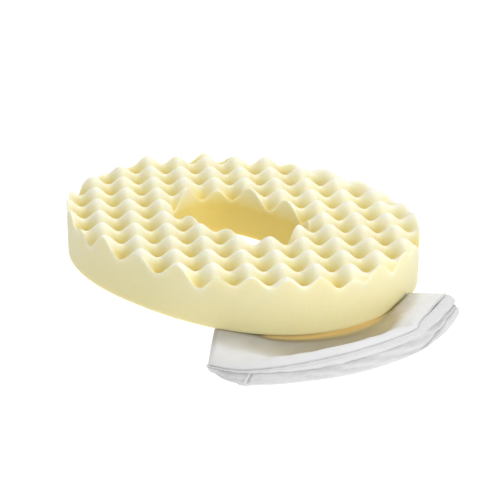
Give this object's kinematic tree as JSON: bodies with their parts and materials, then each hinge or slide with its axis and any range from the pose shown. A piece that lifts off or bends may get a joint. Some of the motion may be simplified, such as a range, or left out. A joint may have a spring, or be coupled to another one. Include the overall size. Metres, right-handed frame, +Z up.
{
  "type": "oval foam ring cushion",
  "caption": "Oval convoluted-foam ring cushion with an open centre, leaning on its own white zipped cloth cover, which is folded in quarters.",
  "frame": {"origin": "centre of the whole set's bounding box in plan, on the surface it rests on", "axes": "+X along the ring's long axis towards the end that rests on the folded cover, +Y across the ring towards the far side, +Z up"},
  "size_m": [0.5239, 0.4001, 0.0921],
  "materials": {
    "foam": "open-cell polyurethane foam, matte",
    "cover_cloth": "plain-weave white polyester-cotton",
    "seam_thread": "white sewing thread over a rolled seam",
    "zip_tape": "woven white tape",
    "zip_coil": "white nylon coil",
    "zip_metal": "nickel-plated",
    "label": "blank satin label"
  },
  "bodies": {
    "folded_cover": {"cover_top_panel": "cover_cloth", "cover_bottom_panel": "cover_cloth", "cover_folded_top_plies": "cover_cloth", "cover_folded_bottom_plies": "cover_cloth", "cover_upper_band": "cover_cloth", "cover_lower_band": "cover_cloth", "cover_band_end": "cover_cloth", "seam_top": "seam_thread", "seam_bottom": "seam_thread", "seam_band_join": "seam_thread", "zip_strip_lower": "cover_cloth", "zip_strip_upper": "cover_cloth", "zip_tape_lower": "zip_tape", "zip_tape_upper": "zip_tape", "zip_coil_lower": "zip_coil", "zip_coil_upper": "zip_coil", "zip_stop_far": "zip_metal", "zip_stop_near": "zip_metal", "care_label": "label"},
    "ring": {"foam_ring": "foam"},
    "slider": {"zip_slider": "zip_metal"},
    "pull_tab": {"zip_pull_tab": "zip_metal"}
  },
  "joints": [
    {"name": "ring_lift", "type": "slide", "parent": "folded_cover", "child": "ring", "axis": [0, 0, 1], "range_m": [0, 0.12]},
    {"name": "zip_run", "type": "slide", "parent": "folded_cover", "child": "slider", "axis": [-0.7997, -0.6004, 0], "range_m": [0, 0.18]},
    {"name": "tab_flip", "type": "hinge", "parent": "slider", "child": "pull_tab", "pos_m": [0.214, 0.08516, 0.0086], "axis": [0, 0, 1], "range_deg": [0, 175]}
  ]
}
